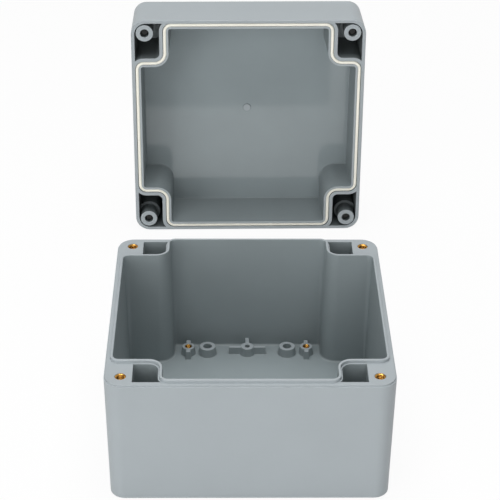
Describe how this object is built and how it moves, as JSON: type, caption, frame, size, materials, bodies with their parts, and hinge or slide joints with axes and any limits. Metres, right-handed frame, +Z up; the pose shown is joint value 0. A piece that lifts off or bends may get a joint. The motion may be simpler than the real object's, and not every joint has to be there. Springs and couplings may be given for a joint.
{
  "type": "plastic enclosure",
  "caption": "Square plastic enclosure, open, with its gasketed lid standing on edge behind the box.",
  "frame": {"origin": "centre of the box's underside, on the surface that the box and the lid stand on", "axes": "+X to the right seen from the front, +Y from the box towards the lid behind it, +Z up"},
  "size_m": [0.1213, 0.2667, 0.12],
  "materials": {
    "enclosure_plastic": "semi-gloss moulded grey plastic, with a glossy inner face in the lid",
    "gasket": "matt cream foamed rubber",
    "insert_brass": "turned brass",
    "screw_steel": "plain stainless steel"
  },
  "bodies": {
    "box": {"box_shell": "enclosure_plastic", "corner_insert_front_left": "insert_brass", "corner_insert_front_right": "insert_brass", "corner_insert_back_left": "insert_brass", "corner_insert_back_right": "insert_brass", "floor_insert_front_left": "insert_brass", "floor_insert_front_right": "insert_brass", "floor_insert_back_left": "insert_brass", "floor_insert_back_right": "insert_brass"},
    "lid": {"lid_shell": "enclosure_plastic", "lid_gasket": "gasket"},
    "screw_lower_left": {"lid_screw_lower_left": "screw_steel"},
    "screw_upper_left": {"lid_screw_upper_left": "screw_steel"},
    "screw_lower_right": {"lid_screw_lower_right": "screw_steel"},
    "screw_upper_right": {"lid_screw_upper_right": "screw_steel"}
  },
  "joints": [
    {"name": "lid_lift", "type": "slide", "parent": "box", "child": "lid", "axis": [0, 0, 1], "range_m": [0, 0.15]},
    {"name": "screw_drive_lower_left", "type": "slide", "parent": "lid", "child": "screw_lower_left", "axis": [0.014, -0.9996, 0.0227], "range_m": [0, 0.0088]},
    {"name": "screw_drive_upper_left", "type": "slide", "parent": "lid", "child": "screw_upper_left", "axis": [0.014, -0.9996, 0.0227], "range_m": [0, 0.0088]},
    {"name": "screw_drive_lower_right", "type": "slide", "parent": "lid", "child": "screw_lower_right", "axis": [0.014, -0.9996, 0.0227], "range_m": [0, 0.0088]},
    {"name": "screw_drive_upper_right", "type": "slide", "parent": "lid", "child": "screw_upper_right", "axis": [0.014, -0.9996, 0.0227], "range_m": [0, 0.0088]}
  ]
}
